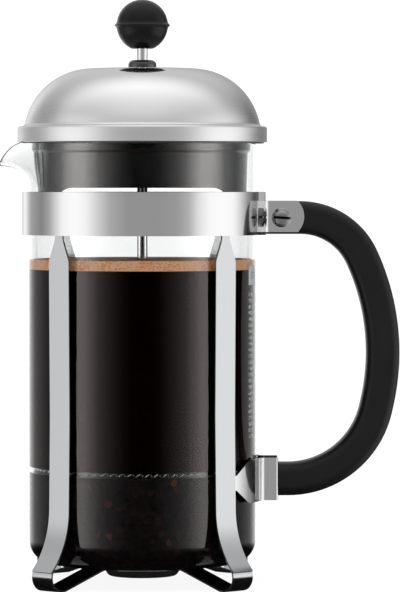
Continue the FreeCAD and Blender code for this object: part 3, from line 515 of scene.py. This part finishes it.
def brewed_coffee():
    """Black coffee behind glass: opaque, with a warm sheen where light rakes it."""
    finish = bpy.context.scene.press_finish
    material, tree, shader = new_material("brewed_coffee")
    place = add(tree, "ShaderNodeTexCoord").outputs["Object"]
    swirl = add(tree, "ShaderNodeTexNoise", {
        "Vector": place, "Scale": 1 / (20 * MM), "Detail": 3.0}).outputs["Fac"]
    colour = add(tree, "ShaderNodeMix", {
        "Factor": swirl, "A": tuple(finish.coffee), "B": linear("#0a0302")}, data_type="RGBA")
    tree.links.new(colour.outputs["Result"], shader.inputs["Base Color"])
    shader.inputs["Roughness"].default_value = 0.12
    shader.inputs["IOR"].default_value = 1.33
    shader.inputs["Specular IOR Level"].default_value = 0.18
    shader.inputs["Specular Tint"].default_value = (1, 0.3, 0.22, 1)
    return material


def crema_foam():
    """Crema: a pale tan foam of bubbles under a millimetre across."""
    finish = bpy.context.scene.press_finish
    material, tree, shader = new_material("crema_foam")
    place = add(tree, "ShaderNodeTexCoord").outputs["Object"]
    bubbles = add(tree, "ShaderNodeTexVoronoi", {"Vector": place, "Scale": 1 / (0.9 * MM)})
    patches = add(tree, "ShaderNodeTexNoise", {
        "Vector": place, "Scale": 1 / (6 * MM), "Detail": 4.0}).outputs["Fac"]
    mixed = add(tree, "ShaderNodeMath", {
        0: bubbles.outputs["Distance"], 1: patches}, operation="ADD").outputs[0]
    shade = add(tree, "ShaderNodeValToRGB", {"Fac": mixed})
    stops(shade, [(0.4, linear("#d88e5b")), (0.75, tuple(finish.crema)), (1.0, linear("#f5c39c"))])
    tree.links.new(shade.outputs["Color"], shader.inputs["Base Color"])
    shader.inputs["Roughness"].default_value = 0.55
    shader.inputs["Specular IOR Level"].default_value = 0.1
    shader.inputs["Subsurface Weight"].default_value = 0.2
    shader.inputs["Subsurface Scale"].default_value = 1.5 * MM
    bump(tree, shader, bubbles.outputs["Distance"], 0.3 * MM)
    return material


def wet_grounds():
    """Spent grounds: dark crumbs one to three millimetres across, a few of them redder."""
    finish = bpy.context.scene.press_finish
    material, tree, shader = new_material("wet_coffee_grounds")
    place = add(tree, "ShaderNodeTexCoord").outputs["Object"]
    crumbs = add(tree, "ShaderNodeTexVoronoi", {"Vector": place, "Scale": 1 / (2.2 * MM)})
    shade = add(tree, "ShaderNodeValToRGB", {"Fac": crumbs.outputs["Color"]})
    stops(shade, [
        (0.0, linear("#040202")), (0.7, tuple(finish.grounds)),
        (0.9, linear("#24110d")), (1.0, linear("#5a2a1c"))])
    tree.links.new(shade.outputs["Color"], shader.inputs["Base Color"])
    shader.inputs["Roughness"].default_value = 0.5
    shader.inputs["Specular IOR Level"].default_value = 0.1
    bump(tree, shader, crumbs.outputs["Distance"], 0.4 * MM)
    return material


# ---------------------------------------------------------------- pieces

def beaker_points(sizes):
    """The beaker's whole skin, outside and inside, as one grid.

    Outside, a meridian runs from the middle of the floor, round the corner, up
    the wall to the spout's root, and on to the rim.  Over the last stretch s
    goes from 0 to 1, and a straight wall is mixed with a beak whose radius grows
    as s to the power 2.2 and whose height eases off as 1 - (1 - s) squared.  The
    mix at an angle a from the spout is a raised cosine over the spread, and its
    cube for the height, so the lip falls straight to its tip.  The
    inside is the outside moved inwards along its normal by the glass, and a half
    circle closes the rim.
    """
    low, top = low_of("beaker"), top_of("beaker")
    radius = radius_of("beaker")
    root = top - sizes.spout_depth
    floor = rounded([(0, low), (radius, low), (radius, root)], [sizes.corner], 16)
    wall = np.linspace(floor[-2], floor[-1], 30)[1:]
    lower = np.vstack([np.linspace(floor[0], floor[1], 8)[:-1], floor[1:-1], wall])
    angle = np.linspace(-math.pi, math.pi, 360, endpoint=False)
    weight = np.where(
        np.abs(angle) < sizes.spout_spread,
        0.5 + 0.5 * np.cos(math.pi * angle / sizes.spout_spread), 0.0)
    s = np.linspace(0, 1, 28)[1:, None]
    straight_z = root + (top - root) * s
    beak_r = radius + sizes.spout_reach * s ** 2.2
    beak_z = root + (top - sizes.spout_drop - root) * (1 - (1 - s) ** 2)
    r = radius + (beak_r - radius) * weight
    z = straight_z + (beak_z - straight_z) * weight ** 3
    r = np.vstack([np.repeat(lower[:, :1], len(angle), axis=1), r])
    z = np.vstack([np.repeat(lower[:, 1:], len(angle), axis=1), z])
    outside = np.stack([-r * np.cos(angle), -r * np.sin(angle), z], axis=-1)
    along = np.gradient(outside, axis=0)
    around = np.roll(outside, -1, axis=1) - np.roll(outside, 1, axis=1)
    normal = np.cross(along, around)
    size = np.linalg.norm(normal, axis=-1, keepdims=True)
    normal = np.divide(normal, size, out=np.zeros_like(normal), where=size > 1e-12)
    # Outwards is away from the axis at the wall's last row.
    normal *= np.sign(normal[-1, 0] @ outside[-1, 0])
    normal[0] = (0, 0, -1)
    inside = outside - normal * sizes.glass
    up = along[-1] / np.linalg.norm(along[-1], axis=-1, keepdims=True)
    middle = (outside[-1] + inside[-1]) / 2
    bend = np.linspace(0, math.pi, 9)[1:-1, None, None]
    lip = middle + sizes.glass / 2 * (np.cos(bend) * normal[-1] + np.sin(bend) * up)
    return np.vstack([outside, lip, inside[::-1]])


def dome_points(sizes):
    """The dome's sheet, turned from one closed outline.

    The outline follows a level middle, a crown arc, a shoulder arc, a cove and
    the flange, and comes back at the sheet's thickness; a half circle closes the
    flange's lower edge.
    """
    low, high = box_of("lid_dome")
    rim = radius_of("lid_dome")
    top, bottom = high[2], low[2]
    step = bottom + sizes.flange
    edge = sizes.sheet / 2
    outer = rounded(
        [(sizes.hole, top), (sizes.crown_flat, top), (rim - sizes.shoulder_inset, top - sizes.slope),
         (rim - sizes.cove_inset, step), (rim, step - sizes.slope), (rim, bottom + edge)],
        [sizes.crown_bend, sizes.shoulder_bend, sizes.cove_bend, sizes.flange_bend], 28)
    direction = np.gradient(outer, axis=0)
    direction /= np.linalg.norm(direction, axis=1, keepdims=True)
    inward = np.stack([direction[:, 1], -direction[:, 0]], axis=1)
    inner = outer + inward * sizes.sheet
    centre = np.array([rim - edge, bottom + edge])
    roll = np.linspace(0, -math.pi, 9)[1:-1, None]
    fold = centre + edge * np.hstack([np.cos(roll), np.sin(roll)])
    return turned(np.vstack([outer, fold, inner[::-1]]), 256)


def knob_points(sizes):
    """The knob: a ball with a pointed ridge round its middle and a flat foot.

    Over the angle t from the foot to the top the radius is the ball's, plus the
    ridge's height times a narrow peak, exp(-|w| ** 1.5), of the height w above
    the middle in ridge half-widths.
    """
    low, high = box_of("knob")
    ridge = radius_of("knob")
    ball = sizes.ball
    middle = high[2] - ball
    foot = math.acos((middle - low[2]) / ball)
    # The rows are closer together within this angle of the ridge.
    near, gap = 0.15, 0.01
    t = np.concatenate([
        np.linspace(math.pi - foot, math.pi / 2 + near + gap, 40),
        np.linspace(math.pi / 2 + near, math.pi / 2 - near, 41),
        np.linspace(math.pi / 2 - near - gap, 0, 50)])
    r, z = ball * np.sin(t), middle + ball * np.cos(t)
    w = np.abs((z - middle) / sizes.ridge)
    r = r + (ridge - ball) * np.exp(-w ** 1.5)
    bore = radius_of("rod") + 0.05 * MM
    depth = low[2] + sizes.thread
    under = [(0, depth), (bore, depth), (bore, low[2]), (r[0] - 0.3 * MM, low[2])]
    return turned(np.vstack([under, np.stack([r, z], axis=1)]), 128)


def spring_points(sizes):
    """The edge spring: a wire wound round a circle.

    The coil's middle runs round the ring's circle; the wire turns about it n
    times per lap, so its angle is n times the lap angle.
    """
    low, high = box_of("edge_spring")
    coil = (high[2] - low[2]) / 2 - sizes.wire
    ring = radius_of("edge_spring") - coil - sizes.wire
    level = (low[2] + high[2]) / 2
    turns = round(TURN * ring / sizes.spring_pitch)
    lap = np.linspace(0, TURN, turns * 14, endpoint=False)
    wind = lap * turns

    def centre_line(lap, wind):
        r = ring + coil * np.cos(wind)
        return np.stack([r * np.cos(lap), r * np.sin(lap), level + coil * np.sin(wind)], axis=-1)

    line = centre_line(lap, wind)
    ahead = np.roll(line, -1, axis=0) - np.roll(line, 1, axis=0)
    ahead /= np.linalg.norm(ahead, axis=1, keepdims=True)
    middle = np.stack([ring * np.cos(lap), ring * np.sin(lap), np.full_like(lap, level)], axis=-1)
    out = line - middle
    out -= (out * ahead).sum(axis=1, keepdims=True) * ahead
    out /= np.linalg.norm(out, axis=1, keepdims=True)
    side = np.cross(ahead, out)
    around = np.linspace(0, TURN, 7, endpoint=False)
    return line[:, None] + sizes.wire * (
        np.cos(around)[None, :, None] * out[:, None] + np.sin(around)[None, :, None] * side[:, None])


class PRESS_OT_glass(bpy.types.Operator):
    """Make the glass beaker"""

    bl_idname = "press.glass"
    bl_label = "Glass beaker"

    def execute(self, context):
        sizes = context.scene.press_sizes
        mesh = mesh_from_grid("beaker_glass", beaker_points(sizes))
        piece("beaker_glass", mesh, clear_glass(), "beaker", ["beaker"], 60)
        return {"FINISHED"}


class PRESS_OT_frame(bpy.types.Operator):
    """Dress the band, legs, base plate, bracket and screw"""

    bl_idname = "press.frame"
    bl_label = "Steel frame"

    def execute(self, context):
        finish = context.scene.press_finish
        # The ears and the bracket's cheeks bow a little over their length.
        for node, name, reach, depth in (
                ("frame_band", "polished_stainless_band", 17 * MM, 0.25 * MM),
                ("lower_bracket", "polished_stainless_bracket", 8.6 * MM, 0.12 * MM)):
            end = float(box_of(node)[1][0])
            dress(node, polished_sheet(name, finish.steel, roughness=0.1, bow=(end - reach, end, depth)))
        dress("base_plate", polished_sheet("pressed_stainless_plate", finish.steel, roughness=0.12))
        strip = polished_sheet("rolled_stainless_strip", finish.strip, roughness=0.13)
        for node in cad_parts:
            if node.startswith("leg_"):
                dress(node, strip)
        dress("handle_screw", turned_screw())
        dress("handle_nut", polished_sheet("milled_steel_nut", finish.steel, roughness=0.2))
        return {"FINISHED"}


class PRESS_OT_handle(bpy.types.Operator):
    """Dress the handle"""

    bl_idname = "press.handle"
    bl_label = "Handle"

    def execute(self, context):
        dress("handle", moulded_plastic(
            "satin_black_polypropylene", roughness=0.38, gloss=0.2, grain=0.35 * MM, depth=0.02 * MM))
        return {"FINISHED"}


class PRESS_OT_lid(bpy.types.Operator):
    """Make the dome and dress the lid's plastic pieces"""

    bl_idname = "press.lid"
    bl_label = "Lid"

    def execute(self, context):
        sizes = context.scene.press_sizes
        mesh = mesh_from_grid("dome_shell", dome_points(sizes), wrap_rows=True)
        piece("dome_shell", mesh, spun_steel(), "lid", ["lid_dome"])
        gloss = moulded_plastic(
            "glossy_black_polypropylene", roughness=0.22, gloss=0.8, grain=0.6 * MM, depth=0.006 * MM)
        dress("lid_insert", gloss)
        dress("rod_guide", gloss)
        steel = context.scene.press_finish.steel
        dress("guide_clip", polished_sheet("sprung_steel_clip", steel, roughness=0.2))
        return {"FINISHED"}


class PRESS_OT_plunger(bpy.types.Operator):
    """Make the knob and edge spring and dress the plunger's other pieces"""

    bl_idname = "press.plunger"
    bl_label = "Plunger"

    def execute(self, context):
        sizes = context.scene.press_sizes
        steel = context.scene.press_finish.steel
        knob = moulded_plastic(
            "gloss_black_phenolic", roughness=0.24, gloss=0.15, grain=0.5 * MM, depth=0.006 * MM)
        piece("knob_ball", mesh_from_grid("knob_ball", knob_points(sizes)), knob, "plunger",
              ["knob"], 50)
        wire = polished_sheet("drawn_steel_wire", steel, roughness=0.22)
        coil = mesh_from_grid("edge_coil", spring_points(sizes), wrap_rows=True)
        piece("edge_coil", coil, wire, "plunger", ["edge_spring"], 180)
        rod = polished_sheet("ground_steel_rod", steel, roughness=0.1)
        for node in ("rod", "rod_collar", "hub_nut"):
            dress(node, rod)
        plate = polished_sheet("rolled_steel_plate", steel, roughness=0.25)
        for node in ("spiral_plate", "cross_plate"):
            dress(node, plate)
        dress("mesh_filter", woven_mesh())
        dress("knob_insert", turned_brass())
        return {"FINISHED"}


class PRESS_OT_coffee(bpy.types.Operator):
    """Fill the beaker with coffee, crema and grounds"""

    bl_idname = "press.coffee"
    bl_label = "Coffee"

    def execute(self, context):
        sizes = context.scene.press_sizes
        bore = radius_of("beaker") - sizes.glass + sizes.wetting
        floor = low_of("beaker") + sizes.glass - sizes.wetting
        spring = box_of("edge_spring")
        waist = radius_of("edge_spring") - 1.6 * MM
        corner = sizes.corner - sizes.glass + sizes.wetting
        foam = sizes.coffee_level - sizes.crema
        sieve_low, sieve_high = spring[0][2], spring[1][2]
        # The grounds end and the coffee starts a hair apart, just above the spring's underside.
        pressed = sieve_low + 0.3 * MM
        started = sieve_low + 0.35 * MM
        grounds = rounded(
            [(0, floor), (bore, floor), (bore, sieve_low), (waist, pressed), (0, pressed)],
            [corner, 0, 0], 14)
        mesh = mesh_from_grid("coffee_grounds", turned(grounds, 180))
        prop("coffee_grounds", mesh, wet_grounds(), "beaker")
        body = np.array([
            (0, started), (waist, started), (waist, sieve_high - 0.2 * MM),
            (bore, sieve_high), (bore, foam), (0, foam)])
        prop("coffee_body", mesh_from_grid("coffee_body", turned(body, 180)), brewed_coffee(), "beaker")
        # The crema climbs the glass a little, over a narrow ring.
        climb, ring, film = 0.5 * MM, 1.2 * MM, 0.01 * MM
        head = rounded(
            [(0, foam + film), (bore, foam + film), (bore, sizes.coffee_level + climb),
             (bore - ring, sizes.coffee_level), (0, sizes.coffee_level)], [0, 0.3 * MM, 0.8 * MM], 6)
        prop("coffee_crema", mesh_from_grid("coffee_crema", turned(head, 180)), crema_foam(), "beaker")
        return {"FINISHED"}


class PRESS_OT_stage(bpy.types.Operator):
    """Set the floor, the studio's light and the camera"""

    bl_idname = "press.stage"
    bl_label = "Stage"

    def execute(self, context):
        self.floor(context)
        self.world(context)
        self.camera(context)
        context.scene.view_settings.view_transform = "Standard"
        return {"FINISHED"}

    def floor(self, context):
        """A round plain floor, lit so softly that the press casts next to no shadow.

        In reflections it shows a painted shadow, a dark glow under the press, and gives way to the studio
        farther out.
        """
        finish = context.scene.press_finish
        material, tree, shader = new_material("matt_studio_floor")
        place = add(tree, "ShaderNodeTexCoord").outputs["Object"]
        grain = add(tree, "ShaderNodeTexNoise", {"Vector": place, "Scale": 300.0}).outputs["Fac"]
        colour = add(tree, "ShaderNodeMix", {
            "Factor": grain, "A": tuple(finish.floor), "B": linear("#ffffff")}, data_type="RGBA")
        tree.links.new(colour.outputs["Result"], shader.inputs["Base Color"])
        shader.inputs["Roughness"].default_value = 0.9
        shader.inputs["Specular IOR Level"].default_value = 0.0
        glow = add(tree, "ShaderNodeEmission", {"Color": colour.outputs["Result"], "Strength": 1.08})
        seen = add(tree, "ShaderNodeMixShader", {0: 0.15, 1: glow.outputs[0], 2: shader.outputs[0]})
        # Painted shadow: for reflected rays the floor glows dark near the press and turns see-through farther
        # out.
        radius = add(tree, "ShaderNodeVectorMath", {0: place}, operation="LENGTH").outputs["Value"]
        far = add(tree, "ShaderNodeMapRange", {
            "Value": radius, "From Min": 0.08, "From Max": 0.2}, interpolation_type="SMOOTHSTEP").outputs[0]
        dark = add(tree, "ShaderNodeEmission", {"Color": linear("#141414"), "Strength": 1.0})
        away = add(tree, "ShaderNodeBsdfTransparent")
        reflected_painted_shadow = add(tree, "ShaderNodeMixShader", {0: far, 1: dark.outputs[0], 2: away.outputs[0]})
        depth = add(tree, "ShaderNodeLightPath").outputs["Glossy Depth"]
        bounced = add(tree, "ShaderNodeMath", {0: depth, 1: 0.5}, operation="GREATER_THAN").outputs[0]
        surface = add(tree, "ShaderNodeMixShader", {0: bounced, 1: seen.outputs[0], 2: reflected_painted_shadow.outputs[0]})
        show_instead(tree, surface.outputs[0])
        points = turned([(0.0, 0.0), (12.0, 0.0)], 64)
        prop("floor", mesh_from_grid("floor", points), material)

    def world(self, context):
        """White all round, but a studio of soft boxes and dark cards in reflections.

        Level with the press the brightness depends on the bearing from the
        viewer: a dim front, a bright box to each side and a dark card behind each.
        Above, it depends on the tilt from front over the top to the back.  Sharp
        reflections in glass see only the two boxes and the back.
        """
        world = bpy.data.worlds.new("studio")
        context.scene.world = world
        world.use_nodes = True
        world.cycles.sampling_method = "NONE"
        tree = world.node_tree
        tree.nodes.clear()
        ray = add(tree, "ShaderNodeTexCoord").outputs["Generated"]
        part = add(tree, "ShaderNodeSeparateXYZ", {0: ray})
        front = add(tree, "ShaderNodeMath", {0: part.outputs["Y"], 1: -1.0}, operation="MULTIPLY").outputs[0]
        bearing, tilt = (
            add(tree, "ShaderNodeMath", {0: part.outputs[name], 1: front}, operation="ARCTAN2").outputs[0]
            for name in "XZ")
        turn = add(tree, "ShaderNodeMapRange", {
            "Value": bearing, "From Min": -math.pi, "From Max": math.pi}).outputs[0]
        level = add(tree, "ShaderNodeValToRGB", {"Fac": turn})
        sides = [
            (-180, 0.3), (-166, 0.5), (-152, 0.78), (-134, 0.33), (-112, 0.22), (-100, 0.37), (-92, 0.61),
            (-82, 0.9), (-68, 0.98), (-56, 0.9), (-43, 0.62), (-31, 0.39), (-14, 0.28),
            (14, 0.28), (33, 0.31), (45, 0.43), (57, 0.78), (68, 0.95), (86, 0.98),
            (98, 0.92), (108, 0.65), (120, 0.3), (136, 0.06), (156, 0.17), (180, 0.3)]
        stops(level, [((a + 180) / 360, v) for a, v in sides])
        rise = add(tree, "ShaderNodeMapRange", {
            "Value": tilt, "From Min": 0.0, "From Max": math.pi}).outputs[0]
        over = add(tree, "ShaderNodeValToRGB", {"Fac": rise})
        arch = [
            (0, 0.5), (30, 0.61), (55, 0.73), (70, 0.84), (88, 1.0), (100, 0.94), (112, 0.74),
            (126, 0.54), (150, 0.48), (180, 0.5)]
        stops(over, [(a / 180, v) for a, v in arch])
        # Above, the light also falls off to both sides, to two fifths square to the view.
        side = add(tree, "ShaderNodeMath", {
            0: part.outputs["X"], 1: part.outputs["X"]}, operation="MULTIPLY").outputs[0]
        fall = add(tree, "ShaderNodeMapRange", {"Value": side, "To Min": 1.0, "To Max": 0.4}).outputs[0]
        ceiling = add(tree, "ShaderNodeVectorMath", {
            0: over.outputs["Color"], "Scale": fall}, operation="SCALE").outputs[0]
        high = add(tree, "ShaderNodeMapRange", {
            "Value": part.outputs["Z"], "From Min": 0.12, "From Max": 0.62},
            interpolation_type="SMOOTHSTEP").outputs[0]
        room = add(tree, "ShaderNodeMix", {
            "Factor": high, "A": level.outputs["Color"], "B": ceiling}, data_type="RGBA").outputs["Result"]
        studio = add(tree, "ShaderNodeVectorMath", {0: room, "Scale": 1.75}, operation="SCALE").outputs[0]
        boxes = add(tree, "ShaderNodeValToRGB", {"Fac": turn})
        # The two boxes are a little warm, the light behind is neutral.
        glazed = [
            (-180, 0.6), (-155, 0.4), (-140, 0.18), (-110, 0.09), (-93, 0.3), (-82, 0.8), (-72, 1.0),
            (-63, 0.95), (-54, 0.58), (-45, 0.26), (-36, 0.13), (-27, 0.06), (-18, 0.015), (-10, 0.0),
            (10, 0.0), (18, 0.015), (27, 0.06), (36, 0.13), (45, 0.26), (54, 0.58), (63, 0.95),
            (72, 1.0), (82, 0.8), (93, 0.3), (110, 0.09), (140, 0.18), (155, 0.4), (180, 0.6)]
        warmth = [(v, v * 0.96, v * 0.95, 1) if abs(a) < 85 else (v, v, v, 1) for a, v in glazed]
        stops(boxes, [((a + 180) / 360, w) for (a, _), w in zip(glazed, warmth)])
        panes = add(tree, "ShaderNodeVectorMath", {
            0: boxes.outputs["Color"], "Scale": 2.6}, operation="SCALE").outputs[0]
        path = add(tree, "ShaderNodeLightPath")
        bounced = add(tree, "ShaderNodeMath", {
            0: path.outputs["Glossy Depth"], 1: 0.5}, operation="GREATER_THAN").outputs[0]
        sharp = add(tree, "ShaderNodeMath", {
            0: path.outputs["Is Glossy Ray"], 1: path.outputs["Is Singular Ray"]},
            operation="MULTIPLY").outputs[0]
        steel = add(tree, "ShaderNodeMix", {
            "Factor": bounced, "A": (1.12, 1.12, 1.12, 1), "B": studio}, data_type="RGBA").outputs["Result"]
        whole = add(tree, "ShaderNodeMix", {
            "Factor": sharp, "A": steel, "B": panes}, data_type="RGBA").outputs["Result"]
        sky = add(tree, "ShaderNodeBackground", {"Color": whole, "Strength": 1.0})
        add(tree, "ShaderNodeOutputWorld", {"Surface": sky.outputs[0]})

    def camera(self, context):
        """A long lens a little below the beaker's rim."""
        data = bpy.data.cameras.new("viewer")
        data.lens = 243.2
        data.sensor_width = 36.0
        data.clip_end = 50.0
        camera = bpy.data.objects.new("viewer", data)
        eye = np.array([0.0, -1.7, 0.171])
        aim = np.array([0.0245, 0.0, 0.1218])
        camera.location = eye
        camera.rotation_euler = Vector(aim - eye).to_track_quat("-Z", "Y").to_euler()
        context.collection.objects.link(camera)
        context.scene.camera = camera


class PRESS_PT_panel(bpy.types.Panel):
    """Lists the press's pieces"""

    bl_label = "French press"
    bl_space_type = "VIEW_3D"
    bl_region_type = "UI"
    bl_category = "Press"

    def draw(self, context):
        for group in (context.scene.press_sizes, context.scene.press_finish):
            for name in group.__annotations__:
                self.layout.prop(group, name)
        for operator in OPERATORS:
            self.layout.operator(operator.bl_idname)


OPERATORS = (PRESS_OT_stage, PRESS_OT_glass, PRESS_OT_frame, PRESS_OT_handle, PRESS_OT_lid,
             PRESS_OT_plunger, PRESS_OT_coffee)
CLASSES = (PressSizes, PressFinish, *OPERATORS, PRESS_PT_panel)


def register():
    for cls in CLASSES:
        bpy.utils.register_class(cls)
    bpy.types.Scene.press_sizes = PointerProperty(type=PressSizes)
    bpy.types.Scene.press_finish = PointerProperty(type=PressFinish)


def unregister():
    del bpy.types.Scene.press_finish
    del bpy.types.Scene.press_sizes
    for cls in reversed(CLASSES):
        bpy.utils.unregister_class(cls)


def main():
    """Register the add-on and run its operators in order."""
    register()
    for operator in OPERATORS:
        group, name = operator.bl_idname.split(".")
        getattr(getattr(bpy.ops, group), name)()


if __name__ == "__main__":
    main()
